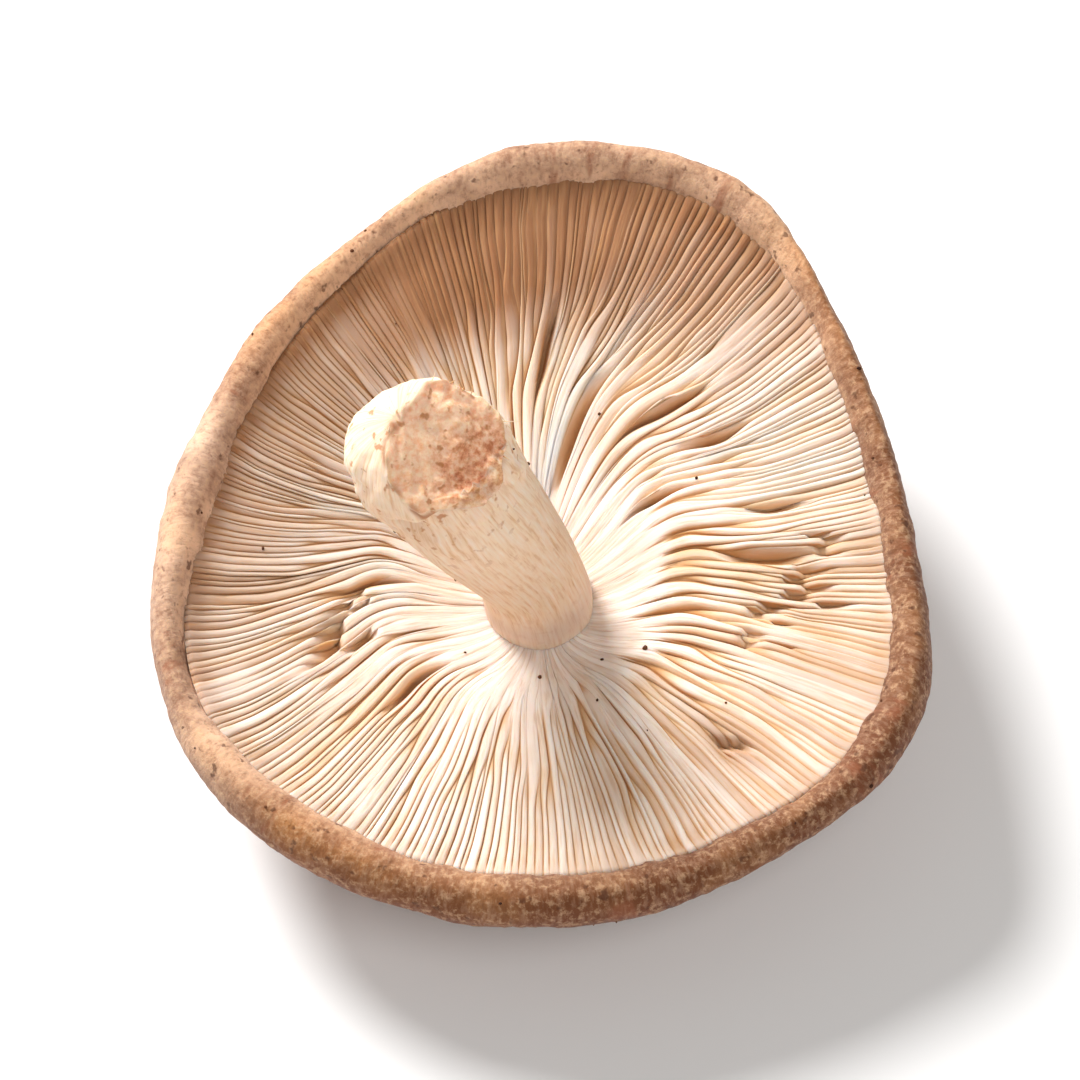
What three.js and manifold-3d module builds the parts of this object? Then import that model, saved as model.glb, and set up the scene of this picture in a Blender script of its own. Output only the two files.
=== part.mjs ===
// A shiitake mushroom lying on its crown, gills and stem up. Millimetres, +Z up.
// The origin is on the surface that it lies on, under the middle of its bounding box.
// The cap is worked out in its own frame first, with +Z up the middle of the gills and z = 0 at the crown,
// and then the whole mushroom is leaned over and set down.
import * as THREE from "three";
import { mergeVertices } from "three/addons/utils/BufferGeometryUtils.js";
import Module from "manifold-3d";

// Driving dimensions
const marginRadii = [31.2, 31.0, 35.9, 34.6, 30.5, 28.5, 29.5, 33.2, 33.6, 34.0, 34.3, 35.6]; // from +X, 30 degrees apart
const capDepth = 18.8; // crown to the highest point of the inrolled margin
const gillCount = 60; // coarse gills, each standing for about four real ones
const gillDepth = 2.6; // how far the spaces between gills are cut in at the margin
const stemRadius = 4.3; // at the neck, just above the gills
const clubRadius = 6.7; // at the swollen end
const tornTilt = 12; // degrees that the torn end of the stem faces towards +X
const lean = 7; // degrees that the gills face towards -Y as the mushroom lies
const crownCurve = 44; // radius of the crown's dome at its lowest point
const restRadius = 9; // radius of the flattened patch that the crown rests on

// The crown and the margin: [share of the margin radius, share of the cap's depth].
const crownProfile = [
  [0, 0], [0.1, 0.002], [0.2, 0.009], [0.3, 0.026], [0.42, 0.075], [0.55, 0.158], [0.68, 0.268],
  [0.8, 0.402], [0.89, 0.535], [0.955, 0.67], [0.99, 0.79], [1, 0.88], [0.985, 0.955], [0.95, 1], [0.915, 0.99],
];
// The free edges of the gills, from the inner lip of the margin to the stem, in the same shares.
const gillProfile = [
  [0.888, 0.945], [0.868, 0.88], [0.8, 0.862], [0.68, 0.81], [0.54, 0.74], [0.4, 0.67], [0.27, 0.605], [0.15, 0.56],
  [0, 0.54],
];
// The middle of the stem, from inside the flesh to past the torn end.
const stemAxis = new THREE.CatmullRomCurve3(
  [
    [0.9, -3.5, 6], [0.9, -3.5, 11], [-0.3, -2.9, 17], [-2.9, -2.6, 23.5], [-5.6, -2.3, 30], [-8, -1.8, 36],
    [-9.8, -1.4, 41],
  ].map((p) => new THREE.Vector3(...p)),
);
// The stem's thickness: [share of the axis, radius].
const stemProfile = [
  [0, 0], [0, 5], [0.12, 5.4], [0.19, stemRadius + 0.3], [0.27, stemRadius], [0.38, stemRadius + 0.1], [0.5, 4.9],
  [0.62, 5.7], [0.73, clubRadius - 0.3], [0.83, clubRadius], [0.92, 6.1], [0.97, 4.6], [1, 2.2], [1, 0],
];

const wasm = await Module();
wasm.setup();

// The margin's distance from the middle at an angle: a smooth closed curve through marginRadii.
function marginRadius(angle) {
  const count = marginRadii.length;
  const place = ((angle / (2 * Math.PI)) * count + 2 * count) % count;
  const step = Math.floor(place);
  const t = place - step;
  const [a, b, c, d] = [-1, 0, 1, 2].map((k) => marginRadii[(step + k + count) % count]);
  return 0.5 * (2 * b + (c - a) * t + (2 * a - 5 * b + 4 * c - d) * t * t + (3 * b - a - 3 * c + d) * t ** 3);
}

// A lathed shape turned so that its axis is +Z.
function lathe(profile, segments) {
  const points = profile.map(([radius, height]) => new THREE.Vector2(radius, height));
  return new THREE.LatheGeometry(points, segments).rotateX(Math.PI / 2);
}

// Moves every vertex of a geometry by a function of its position.
function shape(geometry, move) {
  const position = geometry.getAttribute("position");
  const point = new THREE.Vector3();
  for (let i = 0; i < position.count; i++) {
    point.fromBufferAttribute(position, i);
    move(point);
    position.setXYZ(i, point.x, point.y, point.z);
  }
  return geometry;
}

// A geometry as a solid, with the seam and the poles closed.
function solid(geometry) {
  const bare = new THREE.BufferGeometry()
    .setAttribute("position", geometry.getAttribute("position"))
    .setIndex(geometry.index);
  const merged = mergeVertices(bare, 1e-3);
  const corners = merged.index.array;
  const kept = [];
  for (let i = 0; i < corners.length; i += 3) {
    const [a, b, c] = corners.slice(i, i + 3);
    if (a !== b && b !== c && c !== a) kept.push(a, b, c);
  }
  const mesh = new wasm.Mesh({
    numProp: 3,
    vertProperties: new Float32Array(merged.attributes.position.array),
    triVerts: new Uint32Array(kept),
  });
  return new wasm.Manifold(mesh);
}

// A solid as a geometry again.
function geometryOf(made) {
  const mesh = made.getMesh();
  return new THREE.BufferGeometry()
    .setAttribute("position", new THREE.BufferAttribute(new Float32Array(mesh.vertProperties), 3))
    .setIndex(new THREE.BufferAttribute(new Uint32Array(mesh.triVerts), 1));
}

// The cap: one lathed surface over the crown, round the margin and in along the gills to the middle. Its radius
// follows the margin's outline, and every second column of the gill face sinks to make the spaces between gills.
function makeCap() {
  const columns = 2 * gillCount;
  const geometry = lathe([...crownProfile, ...gillProfile], columns);
  const firstGillRow = crownProfile.length + 1;
  const rows = crownProfile.length + gillProfile.length;
  const position = geometry.getAttribute("position");
  for (let column = 0; column <= columns; column++) {
    for (let row = 0; row < rows; row++) {
      const i = column * rows + row;
      const [share, height] = [Math.hypot(position.getX(i), position.getY(i)), position.getZ(i)];
      const angle = Math.atan2(position.getY(i), position.getX(i));
      const radius = share * marginRadius(angle);
      const onGills = row >= firstGillRow && share > 0;
      const sink = onGills && column % 2 ? gillDepth * Math.min(1, share / 0.8) ** 1.5 : 0;
      position.setXYZ(i, radius * Math.cos(angle), radius * Math.sin(angle), height * capDepth - sink);
    }
  }
  return solid(geometry);
}

// The stem: a lathed club carried along its curved axis, with its end torn off at a slant.
function makeStem() {
  const club = shape(lathe(stemProfile.map(([share, radius]) => [radius, share]), 28), (point) => {
    const share = THREE.MathUtils.clamp(point.z, 0, 1);
    const along = stemAxis.getTangentAt(share);
    const across = new THREE.Vector3(0, 1, 0).cross(along).normalize();
    const over = along.clone().cross(across);
    const centre = stemAxis.getPointAt(share);
    const { x, y } = point;
    point.copy(centre).addScaledVector(across, x).addScaledVector(over, y);
  });
  const end = stemAxis.getPointAt(0.96);
  const cutter = new THREE.BoxGeometry(40, 40, 20)
    .translate(0, 0, 10)
    .rotateY(THREE.MathUtils.degToRad(tornTilt))
    .translate(end.x, end.y, end.z);
  return solid(club).subtract(solid(cutter));
}

// Leans the whole mushroom over, flattens the crown where it rests, and moves the origin under its middle.
function setDown(geometry) {
  geometry.rotateX(THREE.MathUtils.degToRad(lean));
  geometry.computeBoundingBox();
  const rest = geometry.boundingBox.min.z + restRadius ** 2 / (2 * crownCurve);
  shape(geometry, (point) => {
    point.z = Math.max(point.z, rest);
  });
  geometry.computeBoundingBox();
  const middle = geometry.boundingBox.getCenter(new THREE.Vector3());
  return geometry.translate(-middle.x, -middle.y, -rest);
}

const flesh = new THREE.MeshStandardMaterial({ color: 0xd8b594, roughness: 0.75, metalness: 0 });
const mushroom = new THREE.Mesh(setDown(geometryOf(makeCap().add(makeStem()))), flesh);
mushroom.name = "mushroom";

const group = new THREE.Group();
group.add(mushroom);
export default group;
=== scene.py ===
import math
import bpy
import numpy as np
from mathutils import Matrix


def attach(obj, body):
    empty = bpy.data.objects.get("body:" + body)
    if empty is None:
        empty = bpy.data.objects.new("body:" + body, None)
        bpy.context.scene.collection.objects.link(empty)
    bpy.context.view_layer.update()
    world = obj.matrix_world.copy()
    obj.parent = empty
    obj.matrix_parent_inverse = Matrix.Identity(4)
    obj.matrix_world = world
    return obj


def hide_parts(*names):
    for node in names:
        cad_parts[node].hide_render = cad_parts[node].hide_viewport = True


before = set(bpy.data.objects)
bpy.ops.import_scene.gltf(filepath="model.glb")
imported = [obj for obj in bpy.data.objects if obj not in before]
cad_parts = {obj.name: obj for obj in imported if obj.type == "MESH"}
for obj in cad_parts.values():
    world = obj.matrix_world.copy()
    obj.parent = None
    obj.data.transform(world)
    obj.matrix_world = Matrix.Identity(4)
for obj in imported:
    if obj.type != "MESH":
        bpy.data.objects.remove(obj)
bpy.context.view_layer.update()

# One fresh shiitake lying on its crown, gills and stem up. Every shape is worked out in millimetres in
# the cap's own frame, +Z up the middle of the gills and z = 0 at the crown. setDown() then leans it over
# and lays it down.

mushroom = {
    # mm from the middle of the cap to its margin, 30 degrees apart
    "marginRadii": [31.2, 31.0, 35.9, 34.6, 30.5, 28.5, 29.5, 33.2, 33.6, 34.0, 34.3, 35.6],
    "capDepth": 18.8,    # mm, crown to the top of the inrolled margin
    "lean": 7.0,         # degrees that the gills face towards -Y
    "restRadius": 9.0,   # mm, the flattened patch of the crown
    "crownCurve": 44.0,  # mm, radius of the crown's dome
    "meanRadius": 32.5,  # mm, used where a pattern needs one size all round
    "lipShare": 0.888,   # share of the margin radius where the gills meet the inner lip
}
# the middle of the stem, from inside the flesh to past the torn end, in mm
stemAxisPoints = np.array([
    [0.9, -3.5, 6.0], [0.9, -3.5, 11.0], [-0.3, -2.9, 17.0], [-2.9, -2.6, 23.5], [-5.6, -2.3, 30.0],
    [-8.0, -1.8, 36.0], [-9.8, -1.4, 41.0]])


def smoothStep(low, high, value):
    # 0 below low, 1 above high, and an S-shaped rise between them
    t = np.clip((value - low) / (high - low), 0.0, 1.0)
    return t * t * (3.0 - 2.0 * t)


def bump(centre, width, value):
    # a bell: 1 at the centre, falling to 1/e at one width from it
    return np.exp(-((value - centre) / width) ** 2)


def turnFrom(angle, other):
    # the turn in degrees from one angle to another, between -180 and 180
    return (angle - other + 180.0) % 360.0 - 180.0


def cubic(a, b, c, d, t):
    # the cubic between b and c whose slopes come from the points on both sides of them
    return 0.5 * (2 * b + (c - a) * t + (2 * a - 5 * b + 4 * c - d) * t ** 2
                  + (3 * b - a - 3 * c + d) * t ** 3)


def roundTheMiddle(values, degrees):
    # a smooth closed curve through values that stand at equal steps of angle
    values = np.asarray(values, float)
    place = np.mod(degrees, 360.0) / 360.0 * len(values)
    step = np.floor(place).astype(int)
    near = [values[(step + k) % len(values)] for k in (-1, 0, 1, 2)]
    return cubic(*near, place - step)


def smoothPath(points, count, weights=None):
    # a smooth curve through given points, cut into equal steps of its own length
    points = np.asarray(points, float)
    ends = np.vstack([2 * points[0] - points[1], points, 2 * points[-1] - points[-2]])
    t = np.linspace(0.0, 1.0, 40, endpoint=False)[:, None]
    spans = [cubic(*ends[i - 1:i + 3], t) for i in range(1, len(ends) - 2)]
    dense = np.vstack(spans + [points[-1:]])
    scaled = dense if weights is None else dense * weights
    length = np.r_[0.0, np.cumsum(np.linalg.norm(np.diff(scaled, axis=0), axis=1))]
    steps = np.linspace(0.0, length[-1], count)
    return np.stack([np.interp(steps, length, dense[:, k]) for k in range(points.shape[1])], 1)


def noise(points, size, seed=0):
    # smooth random field between -1 and 1: hashed values on a lattice of the given size, blended between
    # its corners
    place = np.asarray(points, float) / size
    cell = np.floor(place).astype(np.int64)
    part = place - cell
    part = part * part * (3.0 - 2.0 * part)
    total = np.zeros(place.shape[:-1])
    for corner in range(8):
        step = np.array([corner & 1, corner >> 1 & 1, corner >> 2 & 1])
        key = ((cell + step) * np.array([73856093, 19349663, 83492791])).sum(-1) + seed * 2654435761
        key = (key ^ (key >> 15)) * 2246822519 & 0xFFFFFFFF
        key = (key ^ (key >> 13)) * 3266489917 & 0xFFFFFFFF
        value = (key ^ (key >> 16)) / 2147483648.0 - 1.0
        weight = np.where(step == 1, part, 1.0 - part).prod(-1)
        total += value * weight
    return total


def tubePlaces(radius, angle, along):
    # places on a plain tube: a pattern drawn on them closes on itself and follows the surface lengthwise
    return np.stack(np.broadcast_arrays(radius * np.cos(angle), radius * np.sin(angle), along), -1)


def flowNoise(degrees, along, turnSize, alongSize, seed=0):
    # noise on a polar sheet that closes on itself: turnSize in degrees, alongSize in the units of along
    radius = np.degrees(1.0) / turnSize
    return noise(tubePlaces(radius, np.radians(degrees), along / alongSize), 1.0, seed)


def pushOut(points, amount):
    # moves a grid of points along its own normals, which point outwards when rows run up and columns run
    # round
    across = np.roll(points, -1, 1) - np.roll(points, 1, 1)
    along = np.gradient(points, axis=0)
    normal = np.cross(across, along)
    normal /= np.maximum(np.linalg.norm(normal, axis=-1, keepdims=True), 1e-9)
    return points + normal * amount[..., None]


def leanOver(points):
    # turned about X by the lean
    lean = math.radians(mushroom["lean"])
    x, y, z = points[..., 0], points[..., 1], points[..., 2]
    return np.stack([x, y * math.cos(lean) - z * math.sin(lean),
                     y * math.sin(lean) + z * math.cos(lean)], -1)


def setDown(points):
    # leans the mushroom over, flattens the crown where it rests, and moves it to the frame's place, in metres
    turned = leanOver(points)
    turned[..., 2] = np.maximum(turned[..., 2], seat["rest"])
    return (turned - np.array([seat["x"], seat["y"], seat["rest"]])) / 1000.0


def addSurface(name, points, attributes, material):
    # closed surfaces from grids of islands, rows and columns: columns close on themselves, and the first
    # and last rows of an island are each one point. Attributes are grids of numbers or of triples kept on
    # the vertices.
    if points.ndim == 3:
        points = points[None]
        attributes = {label: np.asarray(grid)[None] for label, grid in attributes.items()}
    islands, rows, columns = points.shape[:3]
    inner = np.arange((rows - 2) * columns).reshape(rows - 2, columns) + 1
    beside = np.roll(inner, -1, 1)
    size = (rows - 2) * columns + 2
    quads = np.stack([inner[:-1], beside[:-1], beside[1:], inner[1:]], -1).reshape(-1, 4)
    first = np.stack([np.zeros(columns, int), beside[0], inner[0]], -1)
    end = np.stack([np.full(columns, size - 1), inner[-1], beside[-1]], -1)
    start = (np.arange(islands) * size)[:, None, None]
    fans = np.concatenate([first, end])[None] + start
    corners = np.concatenate([(quads[None] + start).ravel(), fans.ravel()])
    sizes = np.r_[np.full(islands * len(quads), 4), np.full(islands * 2 * columns, 3)]

    def onVertices(grid):
        # one value for each vertex: the first pole, the rows between, the last pole
        grid = np.asarray(grid, float)
        rest = grid.shape[3:]
        between = grid[:, 1:-1].reshape((islands, -1) + rest)
        return np.concatenate([grid[:, 0].mean(1)[:, None], between, grid[:, -1].mean(1)[:, None]], 1)

    mesh = bpy.data.meshes.new(name)
    mesh.vertices.add(islands * size)
    mesh.vertices.foreach_set("co", onVertices(points).astype(np.float32).ravel())
    mesh.loops.add(len(corners))
    mesh.loops.foreach_set("vertex_index", corners.astype(np.int32))
    mesh.polygons.add(len(sizes))
    mesh.polygons.foreach_set("loop_start", np.r_[0, np.cumsum(sizes)[:-1]].astype(np.int32))
    mesh.polygons.foreach_set("use_smooth", np.ones(len(sizes), bool))
    for label, grid in attributes.items():
        kind, field = ("FLOAT_VECTOR", "vector") if np.ndim(grid) == 4 else ("FLOAT", "value")
        layer = mesh.attributes.new(label, kind, "POINT")
        layer.data.foreach_set(field, onVertices(grid).astype(np.float32).ravel())
    mesh.update(calc_edges=True)
    mesh.validate()
    mesh.materials.append(material)
    piece = bpy.data.objects.new(name, mesh)
    bpy.context.scene.collection.objects.link(piece)
    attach(piece, "root")
    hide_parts("mushroom")
    print(name, len(mesh.vertices), "vertices")


def linearColour(hexText):
    # an sRGB hex colour as the linear colour that the shader wants
    channels = [int(hexText[i:i + 2], 16) / 255.0 for i in (0, 2, 4)]
    return tuple(c / 12.92 if c <= 0.04045 else ((c + 0.055) / 1.055) ** 2.4 for c in channels) + (1.0,)


def addNode(tree, kind, inputs=None, stops=None, **settings):
    # adds a node: its settings, its sockets' values or links, and the stops of its ramp where it has one
    node = tree.nodes.new(kind)
    for key, value in settings.items():
        setattr(node, key, value)
    for key, value in (inputs or {}).items():
        if isinstance(value, bpy.types.NodeSocket):
            tree.links.new(value, node.inputs[key])
        else:
            node.inputs[key].default_value = value
    for i, (place, colour) in enumerate(stops or []):
        element = node.color_ramp.elements[i] if i < 2 else node.color_ramp.elements.new(place)
        element.position = place
        element.color = linearColour(colour) if isinstance(colour, str) else (colour, colour, colour, 1.0)
    return node


def newMaterial(name, shaderInputs):
    # a material with one Principled shader, whose fixed values are set on its own sockets
    material = bpy.data.materials.new(name)
    material.use_nodes = True
    tree = material.node_tree
    tree.nodes.clear()
    shader = addNode(tree, "ShaderNodeBsdfPrincipled", shaderInputs)
    addNode(tree, "ShaderNodeOutputMaterial", {"Surface": shader.outputs["BSDF"]})
    return material, tree, shader


def capSkinMaterial():
    # Shiitake cap skin: dry felted fibres over brown flesh. Fine radial streaks and a mottled felt, paler
    # towards the inrolled margin, with soft reddish scars and dark specks; no shine to speak of.
    finish = {
        "streakSize": 0.35,   # mm
        "feltSize": 0.60,     # mm
        "mottleSize": 7.0,    # mm
        "fleckSize": 0.9,     # mm
        "scarSize": 2.4,      # mm
    }
    material, tree, shader = newMaterial("shiitakeCapSkin", {
        "Roughness": 0.78, "IOR": 1.4, "Specular IOR Level": 0.28, "Subsurface Weight": 0.12,
        "Subsurface Radius": (0.0012, 0.0006, 0.0003), "Subsurface Scale": 1.0, "Sheen Weight": 0.08,
        "Sheen Roughness": 0.5})
    grain = addNode(tree, "ShaderNodeAttribute", attribute_name="grain").outputs["Vector"]
    along = addNode(tree, "ShaderNodeAttribute", attribute_name="along").outputs["Fac"]
    place = addNode(tree, "ShaderNodeTexCoord").outputs["Object"]
    paintedSideLight = addNode(tree, "ShaderNodeAttribute", attribute_name="paintedSideLight").outputs["Fac"]
    streaks = addNode(tree, "ShaderNodeTexNoise", {
        "Vector": grain, "Scale": 1.0 / finish["streakSize"], "Detail": 4.0, "Roughness": 0.6}).outputs["Fac"]
    felt = addNode(tree, "ShaderNodeTexNoise", {
        "Vector": place, "Scale": 1000.0 / finish["feltSize"], "Detail": 4.0,
        "Roughness": 0.7}).outputs["Fac"]
    mottle = addNode(tree, "ShaderNodeTexNoise", {
        "Vector": place, "Scale": 1000.0 / finish["mottleSize"], "Detail": 5.0,
        "Roughness": 0.6}).outputs["Fac"]
    flecks = addNode(tree, "ShaderNodeTexNoise", {
        "Vector": place, "Scale": 1000.0 / finish["fleckSize"], "Detail": 2.0,
        "Roughness": 0.5}).outputs["Fac"]
    scars = addNode(tree, "ShaderNodeTexNoise", {
        "Vector": grain, "Scale": 1.0 / finish["scarSize"], "Detail": 3.0, "Roughness": 0.65}).outputs["Fac"]
    base = addNode(tree, "ShaderNodeValToRGB", {"Fac": along}, stops=[
        (0.0, "7b4b32"), (1.0, "ebceb4"), (0.35, "79492f"), (0.62, "744126"), (0.76, "6f3c21"),
        (0.83, "87502b"), (0.885, "b47b49"), (0.945, "dbae8b")]).outputs["Color"]
    # laid over each other: the pattern, where it starts to show, where it shows most, how much, its colour
    layers = [
        # the first two layers are painted shade on the side of the margin turned from the light, and painted
        # light on the side it falls on
        (paintedSideLight, 0.5, 1.0, 0.82, "592910"),
        (paintedSideLight, 0.5, 0.0, 0.85, "f2d0b6"),
        (mottle, 0.43, 0.66, 0.60, "693a22"),
        (mottle, 0.50, 0.30, 0.30, "cf9a69"),
        (streaks, 0.46, 0.66, 0.18, "e5c0a0"),
        (streaks, 0.46, 0.28, 0.28, "5c3722"),
        (felt, 0.51, 0.64, 0.38, "dcb48c"),
        (felt, 0.49, 0.33, 0.42, "70401f"),
        (scars, 0.60, 0.68, 0.55, "8a4f33"),
        (flecks, 0.64, 0.71, 0.70, "4f2b18"),
    ]
    colour = base
    for field, low, high, most, hexText in layers:
        share = addNode(tree, "ShaderNodeMapRange", {
            "Value": field, "From Min": low, "From Max": high, "To Min": 0.0,
            "To Max": most}).outputs["Result"]
        colour = addNode(tree, "ShaderNodeMix", {
            "Factor": share, 6: colour, 7: linearColour(hexText)}, data_type="RGBA").outputs[2]
    rise = addNode(tree, "ShaderNodeMath", {0: streaks, 1: felt}, operation="ADD").outputs[0]
    relief = addNode(tree, "ShaderNodeBump", {
        "Height": rise, "Strength": 0.5, "Distance": 0.0002}).outputs["Normal"]
    tree.links.new(colour, shader.inputs["Base Color"])
    tree.links.new(relief, shader.inputs["Normal"])
    return material


def gillMaterial():
    # Shiitake gills: thin moist cream plates that let light through. The ochre in the spaces between them is
    # painted: painted shade between the plates and a painted glow of the light they let through
    finish = {
        "tintSize": 9.0,      # mm
        "lineSize": 0.30,     # mm
    }
    material, tree, shader = newMaterial("shiitakeGills", {
        "Roughness": 0.65, "IOR": 1.4, "Specular IOR Level": 0.18, "Subsurface Weight": 0.6,
        "Subsurface Radius": (0.0012, 0.0008, 0.0005), "Subsurface Scale": 1.0})
    height = addNode(tree, "ShaderNodeAttribute", attribute_name="height").outputs["Fac"]
    brownAndShade = addNode(tree, "ShaderNodeAttribute", attribute_name="brownAndShade").outputs["Fac"]
    place = addNode(tree, "ShaderNodeTexCoord").outputs["Object"]
    patches = addNode(tree, "ShaderNodeTexNoise", {
        "Vector": place, "Scale": 1000.0 / finish["tintSize"], "Detail": 4.0,
        "Roughness": 0.6}).outputs["Fac"]
    grain = addNode(tree, "ShaderNodeAttribute", attribute_name="grain").outputs["Vector"]
    fine = addNode(tree, "ShaderNodeTexNoise", {
        "Vector": grain, "Scale": 1.0 / finish["lineSize"], "Detail": 3.0, "Roughness": 0.6}).outputs["Fac"]
    # cream on the free edges down to ochre deep in the gaps, tears and furrows: painted shade and painted
    # glow
    base = addNode(tree, "ShaderNodeValToRGB", {"Fac": height}, stops=[
        (0.05, "c7925e"), (1.0, "f4e9df"), (0.40, "dfb992"), (0.78, "efddce")]).outputs["Color"]
    warm = addNode(tree, "ShaderNodeMapRange", {
        "Value": patches, "From Min": 0.4, "From Max": 0.75, "To Min": 0.0, "To Max": 0.5}).outputs["Result"]
    warmed = addNode(tree, "ShaderNodeMix", {
        "Factor": warm, 6: base, 7: linearColour("e4c4a6")}, data_type="RGBA").outputs[2]
    # the gills' own brown, and painted shade under the margin, on the far wall and in the dimples
    brownedAndShaded = addNode(tree, "ShaderNodeMix", {
        "Factor": brownAndShade, 6: warmed, 7: linearColour("9c6f4e")}, data_type="RGBA").outputs[2]
    lineShare = addNode(tree, "ShaderNodeMapRange", {
        "Value": fine, "From Min": 0.50, "From Max": 0.32, "To Min": 0.0, "To Max": 0.45}).outputs["Result"]
    lined = addNode(tree, "ShaderNodeMix", {
        "Factor": lineShare, 6: brownedAndShaded, 7: linearColour("c29468")}, data_type="RGBA").outputs[2]
    relief = addNode(tree, "ShaderNodeBump", {
        "Height": fine, "Strength": 0.45, "Distance": 0.00015}).outputs["Normal"]
    tree.links.new(lined, shader.inputs["Base Color"])
    tree.links.new(relief, shader.inputs["Normal"])
    return material


def stemMaterial():
    # Shiitake stem: tough cream fibres running lengthwise, pinkish brown and ragged where it was torn off
    finish = {
        "fibreSize": 0.28,    # mm
        "stainSize": 0.60,    # mm
        "speckSize": 0.9,     # mm
    }
    material, tree, shader = newMaterial("shiitakeStemFlesh", {
        "Roughness": 0.7, "IOR": 1.4, "Specular IOR Level": 0.35, "Subsurface Weight": 0.4,
        "Subsurface Radius": (0.0016, 0.0008, 0.0004), "Subsurface Scale": 1.0})
    grain = addNode(tree, "ShaderNodeAttribute", attribute_name="grain").outputs["Vector"]
    torn = addNode(tree, "ShaderNodeAttribute", attribute_name="torn").outputs["Fac"]
    stainAndShadow = addNode(tree, "ShaderNodeAttribute", attribute_name="stainAndShadow").outputs["Fac"]
    place = addNode(tree, "ShaderNodeTexCoord").outputs["Object"]
    fibres = addNode(tree, "ShaderNodeTexNoise", {
        "Vector": grain, "Scale": 1.0 / finish["fibreSize"], "Detail": 4.0, "Roughness": 0.6}).outputs["Fac"]
    blots = addNode(tree, "ShaderNodeTexNoise", {
        "Vector": place, "Scale": 1000.0 / finish["stainSize"], "Detail": 5.0,
        "Roughness": 0.65}).outputs["Fac"]
    specks = addNode(tree, "ShaderNodeTexNoise", {
        "Vector": place, "Scale": 1000.0 / finish["speckSize"], "Detail": 2.0}).outputs["Fac"]
    aged = addNode(tree, "ShaderNodeAttribute", attribute_name="aged").outputs["Fac"]
    browned = addNode(tree, "ShaderNodeAttribute", attribute_name="browned").outputs["Fac"]
    foot = addNode(tree, "ShaderNodeAttribute", attribute_name="foot").outputs["Fac"]
    fresh = addNode(tree, "ShaderNodeValToRGB", {"Fac": fibres}, stops=[
        (0.28, "dfb288"), (0.72, "f9e6d2"), (0.48, "f5d7b8")]).outputs["Color"]
    footShare = addNode(tree, "ShaderNodeMath", {0: foot, 1: 0.55}, operation="MULTIPLY").outputs[0]
    skin = addNode(tree, "ShaderNodeMix", {
        "Factor": footShare, 6: fresh, 7: linearColour("c9b1a6")}, data_type="RGBA").outputs[2]
    pale = addNode(tree, "ShaderNodeValToRGB", {"Fac": blots}, stops=[
        (0.32, "efb184"), (0.60, "fcd7b5")]).outputs["Color"]
    brown = addNode(tree, "ShaderNodeValToRGB", {"Fac": blots}, stops=[
        (0.36, "c47a52"), (0.64, "f8ceac"), (0.5, "e9ab83")]).outputs["Color"]
    face = addNode(tree, "ShaderNodeMix", {"Factor": browned, 6: pale, 7: brown}, data_type="RGBA").outputs[2]
    faced = addNode(tree, "ShaderNodeMix", {"Factor": torn, 6: skin, 7: face}, data_type="RGBA").outputs[2]
    # real stains, and the painted shadow under the torn face's overhang, in one brown
    stainedAndShaded = addNode(tree, "ShaderNodeMix", {
        "Factor": stainAndShadow, 6: faced, 7: linearColour("a3683f")}, data_type="RGBA").outputs[2]
    spots = addNode(tree, "ShaderNodeMapRange", {
        "Value": specks, "From Min": 0.62, "From Max": 0.70, "To Min": 0.0, "To Max": 0.75}).outputs["Result"]
    speckShare = addNode(tree, "ShaderNodeMath", {0: spots, 1: aged}, operation="MULTIPLY").outputs[0]
    specked = addNode(tree, "ShaderNodeMix", {
        "Factor": speckShare, 6: stainedAndShaded, 7: linearColour("b87440")}, data_type="RGBA").outputs[2]
    relief = addNode(tree, "ShaderNodeBump", {
        "Height": fibres, "Strength": 0.5, "Distance": 0.0002}).outputs["Normal"]
    tree.links.new(specked, shader.inputs["Base Color"])
    tree.links.new(relief, shader.inputs["Normal"])
    return material


def crumbMaterial():
    # crumbs of the sawdust block that the mushroom grew on: dark, dry and rough
    finish = {
        "spotsPerMm": 0.9,    # wider than a crumb, so that each crumb is nearly one tone
    }
    material, tree, shader = newMaterial("growingBlockCrumbs", {"Roughness": 0.9, "Specular IOR Level": 0.2})
    place = addNode(tree, "ShaderNodeTexCoord").outputs["Object"]
    spots = addNode(tree, "ShaderNodeTexNoise", {
        "Vector": place, "Scale": 1000.0 * finish["spotsPerMm"], "Detail": 3.0}).outputs["Fac"]
    colour = addNode(tree, "ShaderNodeValToRGB", {"Fac": spots}, stops=[
        (0.35, "38211a"), (0.65, "6e4429")]).outputs["Color"]
    tree.links.new(colour, shader.inputs["Base Color"])
    return material


def fibreMaterial():
    # loose fibres of the torn stem: dry cream threads that darken to tan
    finish = {
        "toneSize": 2.5,      # mm
    }
    material, tree, shader = newMaterial("tornStemFibres", {
        "Roughness": 0.75, "Specular IOR Level": 0.3, "Subsurface Weight": 0.3,
        "Subsurface Radius": (0.0008, 0.0004, 0.0002), "Subsurface Scale": 1.0})
    place = addNode(tree, "ShaderNodeTexCoord").outputs["Object"]
    tone = addNode(tree, "ShaderNodeTexNoise", {
        "Vector": place, "Scale": 1000.0 / finish["toneSize"], "Detail": 2.0}).outputs["Fac"]
    colour = addNode(tree, "ShaderNodeValToRGB", {"Fac": tone}, stops=[
        (0.35, "c98f62"), (0.65, "f3dcc0")]).outputs["Color"]
    tree.links.new(colour, shader.inputs["Base Color"])
    return material


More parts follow.
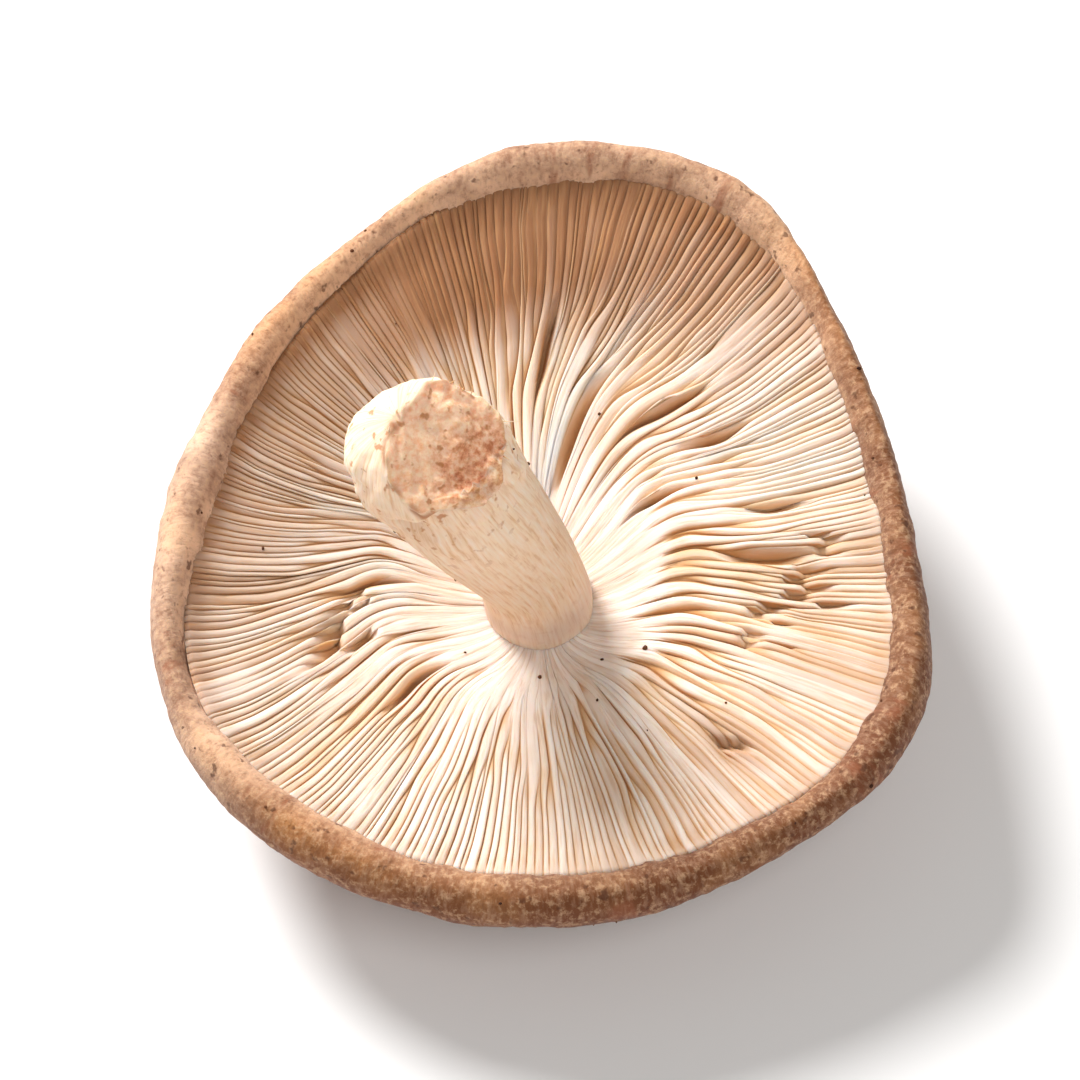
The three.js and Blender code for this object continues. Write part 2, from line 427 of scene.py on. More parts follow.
capShape = {
    "columns": 600,
    "skinRows": 150,
    "hiddenRows": 9,
    # [share of the margin radius, share of the cap's depth]: crown, margin, inner lip
    "crown": [[0, 0], [0.1, 0.002], [0.2, 0.009], [0.3, 0.026], [0.42, 0.075], [0.55, 0.158], [0.68, 0.268],
              [0.8, 0.402], [0.89, 0.535], [0.955, 0.67], [0.99, 0.79], [1, 0.88], [0.985, 0.955], [0.95, 1],
              [0.915, 0.99], [0.888, 0.945], [0.872, 0.87], [0.87, 0.8]],
    # the flesh behind the gills
    "ceiling": [[0.87, 0.8], [0.845, 0.70], [0.78, 0.645], [0.68, 0.59], [0.54, 0.52], [0.4, 0.465],
                [0.27, 0.42], [0.12, 0.40], [0, 0.40]],
    "lumps": 0.50,       # mm, broad unevenness
    "dents": 0.24,       # mm
    "pores": 0.09,       # mm
    "fibrils": 0.05,     # mm, radial fibres of the felt
    "flakes": 0.30,      # mm, raised scales on the crown
    "stretch": 3.0,      # how much longer than wide the skin's streaks are
    "teeth": 0.010,      # share of the margin radius that the ragged inner lip reaches in
    "toothSide": 300.0,  # degrees, where the lip is most ragged
    "paintedShadeSide": 316.0,   # degrees, where painted shade on the margin is darkest, on the side turned from the light
    "paintedLightSide": 184.0,   # degrees, where painted light makes the margin palest
}


def marginRadius(degrees):
    return roundTheMiddle(mushroom["marginRadii"], degrees)


def lipShare(degrees):
    # the inner lip's share of the margin radius: the rolled margin is wider on two sides and narrower on
    # a third
    left = bump(0.0, 35.0, turnFrom(degrees, 145.0))
    front = bump(0.0, 45.0, turnFrom(degrees, 262.0))
    right = bump(0.0, 32.0, turnFrom(degrees, 28.0))
    return 0.916 - 0.034 * left - 0.024 * front + 0.020 * right


def marginRoll(degrees):
    # how much higher or lower the rolled margin stands round the cap, in mm
    return 0.5 * flowNoise(degrees, 0.0, 26.0, 1.0, 7) + 0.25 * flowNoise(degrees, 0.0, 9.0, 1.0, 8)


def capPoints(shape, degrees):
    # profile carried round the middle: radius is the profile's share of the margin radius at that angle
    weights = np.array([mushroom["meanRadius"], mushroom["capDepth"]])
    skin = smoothPath(shape["crown"], shape["skinRows"], weights)
    hidden = smoothPath(shape["ceiling"], shape["hiddenRows"], weights)[1:]
    profile = np.vstack([skin, hidden])
    angle = np.radians(degrees)[None, :]
    radius = profile[:, :1] * marginRadius(degrees)[None, :]
    height = np.repeat(profile[:, 1:] * mushroom["capDepth"], len(degrees), 1)
    return profile, np.stack([radius * np.cos(angle), radius * np.sin(angle), height], -1)


def findSeat():
    # where the leaned mushroom has to go: the middle of its box over the origin, and its lowest part at z = 0
    turned = leanOver(capPoints(capShape, np.arange(360.0))[1])
    low, high = turned.min((0, 1)), turned.max((0, 1))
    rest = low[2] + mushroom["restRadius"] ** 2 / (2 * mushroom["crownCurve"])
    return {"x": (low[0] + high[0]) / 2, "y": (low[1] + high[1]) / 2, "rest": rest}


def makeCap():
    shape = capShape
    degrees = np.arange(shape["columns"]) * 360.0 / shape["columns"]
    profile, points = capPoints(shape, degrees)
    rows, columns = points.shape[:2]
    skin = (np.arange(rows) < shape["skinRows"])[:, None]
    sizes = [mushroom["meanRadius"], mushroom["capDepth"]]
    step = np.r_[0.0, np.cumsum(np.linalg.norm(np.diff(profile, axis=0) * sizes, axis=1))]
    along = np.repeat((step / step[shape["skinRows"] - 1])[:, None], columns, 1)
    angle = np.radians(degrees)[None, :]
    grain = tubePlaces(mushroom["meanRadius"], angle, step[:, None] / shape["stretch"])
    # painted light and shade on the margin: a darker and redder brown on the side turned from the light, and
    # palest where the light falls: 0.5 is the plain colour
    patchy = flowNoise(degrees, 0.0, 16.0, 1.0, 10)
    paintedShade = np.clip(1.25 * np.cos(np.radians(degrees - shape["paintedShadeSide"])) + 0.4 * patchy, 0.0, 1.0)
    paintedLight = np.maximum(bump(0.0, 40.0, turnFrom(degrees, shape["paintedLightSide"])),
                       0.65 * bump(0.0, 45.0, turnFrom(degrees, shape["paintedLightSide"] - 90.0)))
    paintedLight = np.clip(paintedLight * (1.0 + 0.5 * patchy), 0.0, 1.0)
    paintedSideLight = 0.5 + 0.5 * paintedShade * smoothStep(0.55, 0.80, along) - 0.5 * paintedLight * smoothStep(0.70, 0.86, along)
    free = smoothStep(0.0, 0.06, along) * skin
    onLip = smoothStep(0.72, 0.86, along)
    wider = (lipShare(degrees) / mushroom["lipShare"] - 1.0)[None, :] * smoothStep(0.84, 0.94, along)
    teeth = shape["teeth"] * np.clip(0.2 + flowNoise(degrees, 0.0, 2.0, 1.0, 12), 0.0, 1.0)
    teeth = teeth * (0.2 + 0.8 * bump(0.0, 75.0, turnFrom(degrees, shape["toothSide"])))
    wider = wider - teeth[None, :] * smoothStep(0.89, 0.95, along)
    points[..., :2] *= (1.0 + wider)[..., None]
    amount = shape["lumps"] * noise(points, 13.0, 1) + shape["dents"] * noise(points, 4.5, 2)
    amount += shape["pores"] * (noise(points, 1.7, 3) + 0.4 * noise(points, 0.8, 9)) * onLip
    amount += shape["fibrils"] * (noise(grain, 0.55, 4) + 0.6 * noise(grain, 0.28, 5))
    scales = np.clip(noise(points, 1.3, 6) - 0.45, 0.0, 1.0) * (1.0 - onLip)
    amount += shape["flakes"] * scales
    points = pushOut(points, amount * free)
    points[..., 2] += marginRoll(degrees)[None, :] * smoothStep(0.6, 0.9, along) * skin
    addSurface("cap_skin", setDown(points), {
        "grain": grain, "along": np.clip(along, 0, 1), "paintedSideLight": paintedSideLight}, capSkinMaterial())
    return points[(along > 0.3) & (along < 0.95) & skin]


gillShape = {
    "count": 288,             # 72 reach the stem, 72 start at about 0.40 and 144 at about 0.60
    "rows": 52,
    "innerShare": 0.12,
    "outerShare": mushroom["lipShare"],
    "tierStarts": [0.0, 0.0, 0.40, 0.60],    # share of the radius where each tier of short gills starts
    "startSpread": 0.07,
    # degrees that a gill's root at the stem is turned from its outer end, 30 degrees apart
    "turns": [12, 26, 24, 6, -2, -10, -24, -22, -2, -2, -9, -8],
    # [share of the margin radius, share of the cap's depth]: the free edges, and the flesh between them
    "edge": [[0.12, 0.545], [0.27, 0.605], [0.4, 0.67], [0.54, 0.74], [0.68, 0.81], [0.8, 0.865],
             [0.85, 0.90], [0.872, 0.922], [0.89, 0.925]],
    "floor": [[0.12, 0.405], [0.27, 0.43], [0.4, 0.48], [0.54, 0.55], [0.68, 0.64], [0.78, 0.72],
              [0.845, 0.82], [0.89, 0.89]],
    # rings of the hidden underside: [share of the outer ring, mm below the flesh between the gills]
    "underside": [[0.995, 1.2], [0.75, 3.0], [0.4, 2.5]],
    # places across one gill, and how high the plate stands there between the bottom of the gap and its
    # free edge
    "across": [0.0, 0.11, 0.32, 0.62, 0.84, 0.93],
    "plate": [0.0, 0.84, 1.0, 1.0, 0.86, 0.42],
    "gapDepth": 0.62,         # mm that can be seen into between two gills
    "stretch": 14.0,          # how much longer than wide the fine lines on a gill's edge are
    "wander": 1.5,            # degrees, slow waves of the gills
    "ripple": 0.35,           # degrees, quick ones
    "folds": 0.36,            # mm, broad waves of the free edges
    "crowding": 0.42,         # mm that the free edges lean together in clumps
    "slant": 0.12,            # mm that they all lean one way
    "frontSide": 262.0,       # degrees, where the gills stay fused furthest out from the stem
    "calmSide": 265.0,        # degrees, where they run straightest
    "wavySide": 5.0,          # degrees, where their free edges wave most
    "rimShadowSide": 150.0,        # degrees, where painted shade darkens the outer ends most, under the margin nearest the light
    # browner places, the one at 102 degrees painted shade on the far wall of the bowl, which faces away from
    # the light: [degrees, width in degrees, how brown, from share, to share]
    "browned": [[102, 36, 0.90, 0.44, 0.70], [145, 30, 0.16, 0.45, 0.75], [182, 30, 0.40, 0.42, 0.8],
                [58, 25, 0.50, 0.4, 0.8], [325, 34, 0.26, 0.45, 0.75]],
    # where neighbours part: [degrees, from share, to share, width in degrees, mm that each side is pushed]
    "furrows": [[60, 0.26, 0.46, 4.0, 0.55], [42, 0.38, 0.60, 4.0, 0.75], [17, 0.30, 0.46, 4.0, 0.5],
                [198, 0.34, 0.50, 4.5, 0.6], [356, 0.52, 0.74, 3.5, 0.6], [30, 0.50, 0.66, 3.0, 0.45],
                [232, 0.35, 0.55, 3.5, 0.4], [84, 0.42, 0.62, 3.0, 0.4], [8, 0.60, 0.76, 2.5, 0.4]],
    # places where gills are broken off: [degrees, share, width in degrees, length as a share, depth]
    "tears": [[211, 0.49, 6.5, 0.05, 0.42], [203, 0.43, 4.0, 0.04, 0.30], [350, 0.67, 6.0, 0.045, 0.36],
              [342, 0.62, 3.5, 0.035, 0.30], [334, 0.54, 3.0, 0.03, 0.30], [313, 0.66, 2.4, 0.03, 0.35],
              [358, 0.74, 3.0, 0.03, 0.30]],
    # dimples: [degrees, share, width in degrees, length as a share, mm deep]
    "dimples": [[311, 0.70, 5.0, 0.09, 0.9], [346, 0.71, 6.0, 0.08, 0.5], [211, 0.52, 7.0, 0.08, 0.5],
                [326, 0.70, 4.0, 0.06, 0.3]],
}


def gillTurns(shape, outer, share):
    # how far round the cap a gill has strayed from a straight radius: an even arc towards its root at the
    # stem, and slow and quick waves further out
    arc = np.clip(1.0 - (share - 0.15) / 0.62, 0.0, 1.0) ** 2
    free = smoothStep(0.15, 0.45, share)
    slow = flowNoise(outer, share, 24.0, 0.50, 21)
    quick = flowNoise(outer, share, 6.0, 0.25, 22)
    calm = 1.0 - 0.6 * bump(0.0, 40.0, turnFrom(outer, shape["calmSide"]))
    waves = (shape["wander"] * slow + shape["ripple"] * quick) * free * calm
    return roundTheMiddle(shape["turns"], outer) * arc + waves


def gillLean(shape, outer, share):
    # how far the free edges lean sideways, in mm, and where a furrow between two of them stands open
    lean = shape["slant"] + shape["crowding"] * flowNoise(outer, share, 7.0, 0.55, 26)
    lean += 0.3 * shape["crowding"] * flowNoise(outer, share, 2.6, 0.35, 27)
    lean *= 1.0 - 0.4 * bump(0.0, 40.0, turnFrom(outer, shape["calmSide"]))
    lean *= smoothStep(0.18, 0.4, share) * (1.0 - smoothStep(0.78, 0.87, share))
    opened = np.zeros_like(outer)
    for where, low, high, spread, push in shape["furrows"]:
        away = turnFrom(outer, where)
        window = smoothStep(low - 0.05, low + 0.08, share)
        window = window * (1.0 - smoothStep(high - 0.10, high + 0.04, share))
        lean += push * np.sign(away) * np.exp(-np.abs(away) / spread) * window
        opened += window * bump(0.0, 0.8, away)
    return lean, np.clip(opened, 0.0, 1.0)


def makeGills():
    # plates side by side on a polar sheet. A gill's width at each distance is its share of the turn, and a
    # short gill's share grows from nothing where it starts, so that its neighbours swing aside for it.
    shape = gillShape
    random = np.random.default_rng(11)
    count, rows = shape["count"], shape["rows"]
    share = np.linspace(shape["innerShare"], shape["outerShare"], rows)[:, None]
    tier = np.array([1, 3, 2, 3] * (count // 4))
    start = np.where(tier == 1, -1.0, np.array(shape["tierStarts"])[tier])
    start = start + random.normal(0.0, shape["startSpread"], count)
    wide = np.clip(random.normal(1.0, 0.32, count), 0.35, 1.8)
    grown = smoothStep(start - 0.07, start + 0.06, share)
    width = (0.05 + 0.95 * grown) * wide
    # each gill that reaches the stem and the three short ones beside it keep their own slice of the turn
    slices = count // 4
    width = width.reshape(rows, slices, 4)
    width = width / width.sum(-1, keepdims=True) * 360.0 / slices
    begin = np.cumsum(width, -1) - width + np.arange(slices)[:, None] * 360.0 / slices
    begin = begin.reshape(rows, count, 1)
    across = np.array(shape["across"])
    base = (begin + width.reshape(rows, count, 1) * across).reshape(rows, -1)
    outer = np.repeat(((np.arange(count)[:, None] + across) * 360.0 / count).reshape(1, -1), rows, 0)
    degrees = base + gillTurns(shape, outer, share)
    # how far each place is cut below the free edges: 0 on an edge, 1 at the bottom of a gap
    plate = np.tile(np.array(shape["plate"]), count)[None, :]
    tall = np.repeat(grown, len(across), 1)
    front = bump(0.0, 45.0, turnFrom(outer, shape["frontSide"]))
    nearStem = 1.0 - smoothStep(0.20, 0.46 + 0.16 * front, share)
    broad = flowNoise(outer, share, 6.0, 0.25, 24)
    ragged = flowNoise(outer, share, 1.6, 0.16, 30)
    joined = smoothStep(0.1, 0.8, 0.7 * broad + 0.55 * ragged + 1.3 * nearStem)
    cut = (1.0 - plate * tall) * (1.0 - 0.93 * joined) * (1.0 - 0.7 * smoothStep(0.84, 0.88, share))
    uneven = np.repeat(random.uniform(0.0, 0.4, count) ** 1.5 / 0.63, len(across))[None, :]
    cut = cut + uneven * (1.0 - joined) + 0.2 * np.clip(flowNoise(outer, share, 2.2, 0.05, 23), 0, 1)
    lean, opened = gillLean(shape, outer, share)
    edge = np.interp(share, *np.array(shape["edge"]).T) * mushroom["capDepth"]
    floor = np.interp(share, *np.array(shape["floor"]).T) * mushroom["capDepth"]
    flesh = edge - floor
    wavy = bump(0.0, 60.0, turnFrom(outer, shape["wavySide"]))
    folds = shape["folds"] * (0.35 + 0.65 * wavy) * flowNoise(outer, share, 8.0, 0.45, 28)
    depth = shape["gapDepth"] * (0.65 + 0.5 * flowNoise(outer, share, 12.0, 0.4, 29))
    height = edge - np.minimum(depth, 0.8 * flesh) * cut + folds * smoothStep(0.2, 0.4, share)
    height = height - 0.45 * flesh * opened + marginRoll(degrees) * smoothStep(0.6, 0.88, share)
    hole = np.zeros_like(outer)
    # each gill of a torn place breaks off at its own distance, steeply on the side of the stem
    slip = np.repeat(random.normal(0.0, 0.8, count), len(across))[None, :]
    for where, at, spread, length, deep in shape["tears"]:
        past = (share - at) / length + slip
        broken = smoothStep(0.0, 0.35, past) * (1.0 - smoothStep(0.7, 2.2, past))
        beside = 1.0 - smoothStep(0.6, 1.0, np.abs(turnFrom(outer, where)) / spread)
        hole = np.maximum(hole, deep * broken * beside)
    sunk = np.zeros_like(outer)
    for where, at, spread, length, deep in shape["dimples"]:
        sunk += deep * bump(0.0, spread, turnFrom(outer, where)) * bump(at, length, share)
    height = height - sunk
    height = np.maximum(height - hole * flesh, floor + 0.1)
    # 1 on a free edge, 0 deep in a gap, a tear or an open furrow: it sets how far the edges lean and the
    # painted shade and glow of the gill colour
    stand = np.clip(1.0 - np.maximum(cut, np.maximum(2.1 * hole, opened)), 0.0, 1.0)
    # rings are centred on the stem near it and on the cap further out
    foot = stemAxisPoints[1]
    inward = 1.0 - smoothStep(0.12, 0.45, share)
    radius = share * marginRadius(degrees) * (1 - inward) + share * mushroom["meanRadius"] * inward
    radius *= 1.0 + (lipShare(degrees) / mushroom["lipShare"] - 1.0) * smoothStep(0.72, 0.87, share)
    angle = np.radians(degrees) + lean * (0.35 + 0.65 * stand) / radius
    points = np.stack([foot[0] * inward + radius * np.cos(angle),
                       foot[1] * inward + radius * np.sin(angle), height], -1)
    # a plain hidden underside closes the sheet inside the flesh
    middle = np.array([foot[0], foot[1], 0.0])
    top = middle + np.zeros((1, points.shape[1], 3)) + [0, 0, floor[0, 0] + 1.0]
    under = []
    for part, drop in shape["underside"]:
        ring = points[-1:] * [part, part, 0]
        level = np.interp(part * shape["outerShare"], *np.array(shape["floor"]).T)
        ring[..., 2] = level * mushroom["capDepth"] - drop
        under.append(ring)
    bottom = middle + np.zeros((1, points.shape[1], 3)) + [0, 0, 4.0]
    # the sheet's rows run outwards on top, so they are taken in reverse to make it face up
    sheet = np.concatenate([top, points] + under + [bottom])[::-1]

    def wholeSheet(grid):
        # values of the shown gills, repeated for the hidden rows
        return np.concatenate([grid[:1], grid] + [grid[-1:]] * (len(under) + 1))[::-1]

    # browner gill by gill and towards the margin, where the lip's tan runs in; darker where the margin
    # nearest the light shades the outer ends and in the dimples, both painted shade
    rimShadow = 0.4 + 0.6 * bump(0.0, 80.0, turnFrom(outer, shape["rimShadowSide"]))
    brownAndShade = np.repeat(random.uniform(0.0, 0.25, count), len(across))[None, :]
    brownAndShade = brownAndShade + 0.45 * rimShadow * smoothStep(0.80, 0.885, share) + 0.35 * sunk
    for where, spread, most, low, high in shape["browned"]:
        brownAndShade = brownAndShade + most * bump(0.0, spread, turnFrom(outer, where)) * smoothStep(low, high, share)
    brownAndShade = np.clip(brownAndShade, 0.0, 1.0)
    # the grain follows each gill out from the stem, whichever way the gill strays
    mean = mushroom["meanRadius"]
    grain = tubePlaces(mean, np.radians(outer), mean * share / shape["stretch"])
    addSurface("gills", setDown(sheet), {
        "height": wholeSheet(stand), "brownAndShade": wholeSheet(brownAndShade), "grain": wholeSheet(grain)},
        gillMaterial())
    return points[(stand > 0.85) & (share > 0.25) & (share < 0.86)]


stemShape = {
    "columns": 260,
    "rows": 300,
    "outlineLength": 35.0,    # mm, how long the club's outline is taken to be when it is smoothed
    "fibreLength": 36.0,      # mm along the axis, for the lengthwise fibres
    "fibreStretch": 10.0,     # how much longer than wide the fibres are
    "fibreRadius": 5.0,       # mm, the shaft's plain radius for the fibres
    # [share of the axis, radius in mm]
    "club": [[0.0, 4.4], [0.14, 4.35], [0.19, 4.3], [0.27, 4.3], [0.38, 4.7], [0.5, 5.2], [0.62, 5.8],
             [0.73, 6.2], [0.82, 6.3], [0.88, 5.9], [0.93, 5.0], [0.97, 3.6], [1.0, 1.6]],
    "tornPlace": 0.985,       # share of the axis where the torn face crosses it
    "tornNormal": [0.42, -0.28, 0.86],    # the way the torn face looks
    "fringe": 0.45,           # mm that the ragged rim of the torn face stands out
    "ledge": 1.3,             # mm that the torn end overhangs the shaft in front
    "ledgePlace": 0.845,      # share of the axis
    "ledgeSide": -72.0,       # degrees
    "roughness": 0.24,        # mm, fibres of the torn face
    "lumps": [[3.4, 0.50, 51], [1.4, 0.25, 52], [0.7, 0.12, 53]],   # on the club: mm wide, mm high, seed
    "brownPlace": [1.8, -0.5, 0.0],    # mm from the middle of the torn face to the middle of its browned part
    "brownRadius": 3.5,       # mm
    "paintedCreviceShadow": 0.85,          # how dark the painted shadow under the overhang is, of 1
    "smear": 0.34,            # how dark the smear on the club is, of 1
    "smearPlace": 0.79,       # share of the axis
    "smearSide": -118.0,      # degrees
    "footPlace": 0.165,       # share of the axis where the stem comes out of the gills and is greyest
}


def makeStem():
    # circles carried along the bent axis. Their radius follows the club's outline, and what stands past a
    # slanting plane is pushed back to it, along the axis, to make the torn face.
    shape = stemShape
    rows, columns = shape["rows"], shape["columns"]
    axis = smoothPath(stemAxisPoints, rows)
    ahead = np.gradient(axis, axis=0)
    ahead /= np.linalg.norm(ahead, axis=1, keepdims=True)
    side = np.cross([0.0, 1.0, 0.0], ahead)
    side /= np.linalg.norm(side, axis=1, keepdims=True)
    over = np.cross(ahead, side)
    part = np.linspace(0.0, 1.0, rows)[:, None]
    degrees = np.arange(columns) * 360.0 / columns
    angle = np.radians(degrees)[None, :]
    outline = smoothPath(np.array(shape["club"]) * [shape["outlineLength"], 1.0], 400)
    radius = np.interp(part * shape["outlineLength"], outline[:, 0], outline[:, 1])
    radius = radius * (1 + 0.05 * flowNoise(degrees, part, 70.0, 0.35, 41)
                       + 0.025 * flowNoise(degrees, part, 24.0, 0.12, 42))
    radius = radius + 0.05 * flowNoise(degrees, part, 4.5, 0.25, 43) * smoothStep(0.16, 0.3, part)
    front = smoothStep(0.1, 0.8, np.cos(angle - math.radians(shape["ledgeSide"])))
    ragged = 0.012 * flowNoise(degrees, part, 14.0, 1.0, 44)
    below = 1 - smoothStep(shape["ledgePlace"] - 0.012, shape["ledgePlace"] + 0.012, part + ragged)
    radius -= shape["ledge"] * front * below * smoothStep(0.58, 0.83, part)
    close = np.sqrt(np.clip(1 - smoothStep(0.985, 1.0, part), 0, 1)) * smoothStep(-0.001, 0.003, part)
    radius = radius * close
    circle = side[:, None] * np.cos(angle)[..., None] + over[:, None] * np.sin(angle)[..., None]
    points = axis[:, None] + circle * radius[..., None]
    club = smoothStep(0.55, 0.75, part) * (1.0 - smoothStep(0.97, 1.0, part))
    for size, rise, seed in shape["lumps"]:
        points = points + circle * (rise * club * noise(points, size, seed))[..., None]
    normal = np.array(shape["tornNormal"])
    normal /= np.linalg.norm(normal)
    centre = axis[int(shape["tornPlace"] * (rows - 1))]
    past = (points - centre) @ normal + 0.35 * noise(points, 1.6, 45) + 0.5 * noise(points, 4.0, 46)
    torn = smoothStep(-0.1, 0.25, past)
    slope = (ahead @ normal)[:, None]
    points = points - ahead[:, None] * (np.clip(past, 0, None) / slope)[..., None]
    faceMiddle = points[past > 0.6].mean(0)
    away = points - faceMiddle
    away /= np.maximum(np.linalg.norm(away, axis=-1, keepdims=True), 1e-6)
    fringe = bump(0.1, 0.3, past) * np.clip(0.4 + noise(away, 0.16, 49), 0.0, 1.5)
    points = points + away * (shape["fringe"] * fringe)[..., None]
    rough = noise(points, 0.9, 47) + 0.6 * noise(points, 0.45, 48)
    points = points + normal * (shape["roughness"] * rough * torn)[..., None]
    brownMiddle = faceMiddle + np.array(shape["brownPlace"])
    apart = np.linalg.norm(points - brownMiddle, axis=-1)
    apart = apart + 0.9 * noise(points, 2.2, 54) + 0.4 * noise(points, 0.8, 55)
    browned = 1.0 - smoothStep(shape["brownRadius"] - 1.4, shape["brownRadius"] + 1.0, apart)
    rim = bump(0.1, 0.3, past) * smoothStep(0.0, 0.6, noise(points, 1.1, 56))
    length = part * shape["fibreLength"] / shape["fibreStretch"]
    grain = tubePlaces(shape["fibreRadius"], angle, length)
    grain = grain * (1 - torn[..., None]) + points * torn[..., None]
    # a painted shadow: a dark line under the overhang of the torn face, where it shades the shaft
    broken = smoothStep(-0.5, 0.2, noise(points, 1.4, 58))
    paintedCreviceShadow = shape["paintedCreviceShadow"] * bump(-0.40, 0.28, past) * front * broken
    smear = bump(shape["smearPlace"], 0.09, part)
    smear = smear * bump(0.0, 42.0, turnFrom(degrees, shape["smearSide"])) * (1.0 - torn)
    smear = shape["smear"] * smear * (0.7 + 0.5 * flowNoise(degrees, part, 9.0, 0.2, 59))
    # the torn rim and the smear are real stains; the line under the overhang is painted shadow
    stainAndShadow = np.maximum(np.maximum(0.6 * rim, paintedCreviceShadow), smear)
    # specks are common on the old club and rare down the shaft, and the foot is greyer
    aged = 0.15 + 0.85 * smoothStep(0.50, 0.80, part) + 0 * angle
    foot = bump(shape["footPlace"], 0.055, part) + 0 * angle
    points[0] = axis[0]
    points[-1] = points[-1].mean(0)
    addSurface("stem", setDown(points), {
        "grain": grain, "torn": torn, "browned": browned, "stainAndShadow": stainAndShadow, "aged": aged, "foot": foot},
        stemMaterial())
    shaft = (part > 0.35) & (part < 0.98) & (torn < 0.1)
    return points[shaft], points[np.abs(past) < 0.25], normal


crumbShape = {
    "rows": 6,
    "columns": 8,
    "onGills": 16,
    "onCap": 60,
    "onStem": 8,
    "size": [0.09, 0.32],         # mm, range of the radius before it is made uneven
}


def makeCrumbs(gillSpots, capSpots, stemSpots, material):
    # flattened pebbles: a ball's grid of latitude and longitude, with uneven radius, set half into the
    # surface
    shape = crumbShape
    random = np.random.default_rng(5)
    parts = [(gillSpots, shape["onGills"]), (capSpots, shape["onCap"]), (stemSpots, shape["onStem"])]
    spots = np.concatenate([group[random.integers(0, len(group), some)] for group, some in parts])
    latitude = np.linspace(0.0, math.pi, shape["rows"])[:, None]
    longitude = (np.arange(shape["columns"]) * 2 * math.pi / shape["columns"])[None, :]
    ball = np.stack([np.sin(latitude) * np.cos(longitude), np.sin(latitude) * np.sin(longitude),
                     -np.cos(latitude) + 0 * longitude], -1)
    count = len(spots)
    size = random.uniform(*shape["size"], (count, 1, 1, 1)) * random.uniform(0.5, 1.0, (count, 1, 1, 3))
    pebbles = ball[None] * size * random.uniform(0.8, 1.2, (count, shape["rows"], shape["columns"], 1))
    pebbles[:, 0] = pebbles[:, 0].mean(1, keepdims=True)
    pebbles[:, -1] = pebbles[:, -1].mean(1, keepdims=True)
    points = pebbles + spots[:, None, None, :]
    addSurface("substrate_crumbs", setDown(points), {}, material)


fibreShape = {
    "rows": 9,
    "columns": 6,
    "count": 18,
    "length": [0.3, 0.9],         # mm
    "thickness": [0.06, 0.15],    # mm, radius at the root
}


def makeFibres(edgeSpots, normal, material):
    # thin tapered circles carried along short bent lines that start on the rim of the torn face
    shape = fibreShape
    random = np.random.default_rng(9)
    count = shape["count"]
    roots = edgeSpots[random.integers(0, len(edgeSpots), count)]
    middle = edgeSpots.mean(0)
    out = roots - middle
    out /= np.linalg.norm(out, axis=1, keepdims=True)
    ahead = 0.75 * out + 0.55 * normal + random.normal(0, 0.35, (count, 3))
    ahead /= np.linalg.norm(ahead, axis=1, keepdims=True)
    bend = random.normal(0, 0.5, (count, 3))
    length = random.uniform(*shape["length"], (count, 1, 1, 1))
    part = np.linspace(0.0, 1.0, shape["rows"])[None, :, None, None]
    curve = ahead[:, None, None] * part + bend[:, None, None] * part ** 2
    line = (roots - 0.25 * ahead)[:, None, None] + length * curve
    side = np.cross(ahead, [0.3, 0.2, 0.9])
    side /= np.linalg.norm(side, axis=1, keepdims=True)
    over = np.cross(ahead, side)
    turn = (np.arange(shape["columns"]) * 2 * math.pi / shape["columns"])[None, None, :, None]
    thick = random.uniform(*shape["thickness"], (count, 1, 1, 1)) * (1.0 - 0.8 * part)
    thick = thick * ((part > 0) & (part < 1))
    points = line + thick * (side[:, None, None] * np.cos(turn) + over[:, None, None] * np.sin(turn))
    addSurface("torn_fibres", setDown(points), {}, material)


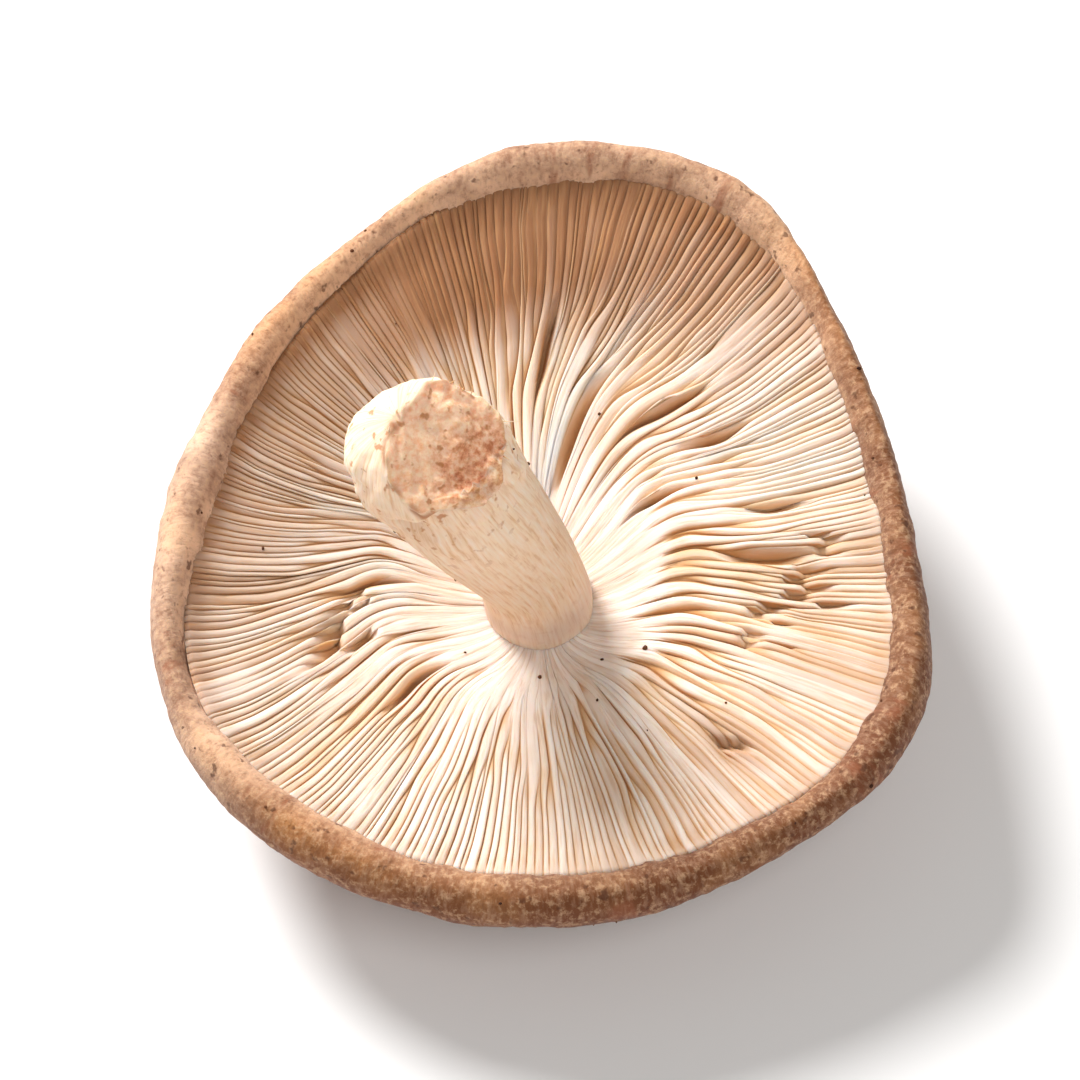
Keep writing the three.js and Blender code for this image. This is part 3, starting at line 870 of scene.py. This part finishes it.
studio = {
    "lens": 180.0,         # mm
    "elevation": 59.0,     # degrees above the floor
    "frameWidth": 0.088,   # m across the picture at the mushroom
    "aimHeight": 0.014,    # m above the floor
    "floorSize": 6.0,      # m
    "surround": 0.29,      # strength of the surround
    "surroundColour": "fffbf7",
    # name: place in metres, size in metres, watts
    "lights": {
        "keySoftbox": [(-0.50, 0.62, 0.70), 0.46, 19.5],
        "frontSoftbox": [(0.25, -0.50, 0.80), 0.7, 3.6],
    },
}


def makeStudio():
    scene = bpy.context.scene
    scene.view_settings.view_transform = "Standard"
    world = bpy.data.worlds.new("paleStudio")
    world.use_nodes = True
    surround = world.node_tree.nodes["Background"]
    surround.inputs["Color"].default_value = linearColour(studio["surroundColour"])
    surround.inputs["Strength"].default_value = studio["surround"]
    scene.world = world
    bpy.ops.mesh.primitive_plane_add(size=studio["floorSize"], location=(0, 0, 0))
    floor = bpy.context.object
    floor.name = "floor"
    # matt white background paper
    floor.data.materials.append(newMaterial("whitePaperSweep", {
        "Base Color": linearColour("f4f3f2"), "Roughness": 0.9, "Specular IOR Level": 0.1})[0])
    for name, (place, size, power) in studio["lights"].items():
        data = bpy.data.lights.new(name, "AREA")
        data.shape = "DISK"
        data.size = size
        data.energy = power
        lamp = bpy.data.objects.new(name, data)
        lamp.location = place
        direction = -np.array(place)
        lamp.rotation_euler = (math.atan2(math.hypot(direction[0], direction[1]), -direction[2]), 0,
                               math.atan2(direction[1], direction[0]) - math.pi / 2)
        scene.collection.objects.link(lamp)
    data = bpy.data.cameras.new("camera")
    data.lens = studio["lens"]
    camera = bpy.data.objects.new("camera", data)
    distance = studio["frameWidth"] / 2 / math.tan(math.atan(data.sensor_width / 2 / data.lens))
    rise = math.radians(studio["elevation"])
    camera.location = (0.0, -distance * math.cos(rise), studio["aimHeight"] + distance * math.sin(rise))
    camera.rotation_euler = (math.pi / 2 - rise, 0.0, 0.0)
    scene.collection.objects.link(camera)
    scene.camera = camera
    print("studio", len(studio["lights"]), "lights, camera", round(distance, 3), "m away")


seat = findSeat()
print("laid down, mm:", {name: round(float(value), 3) for name, value in seat.items()})
makeStudio()
capSpots = makeCap()
gillSpots = makeGills()
stemSpots, edgeSpots, tornNormal = makeStem()
makeCrumbs(gillSpots, capSpots, stemSpots, crumbMaterial())
makeFibres(edgeSpots, tornNormal, fibreMaterial())
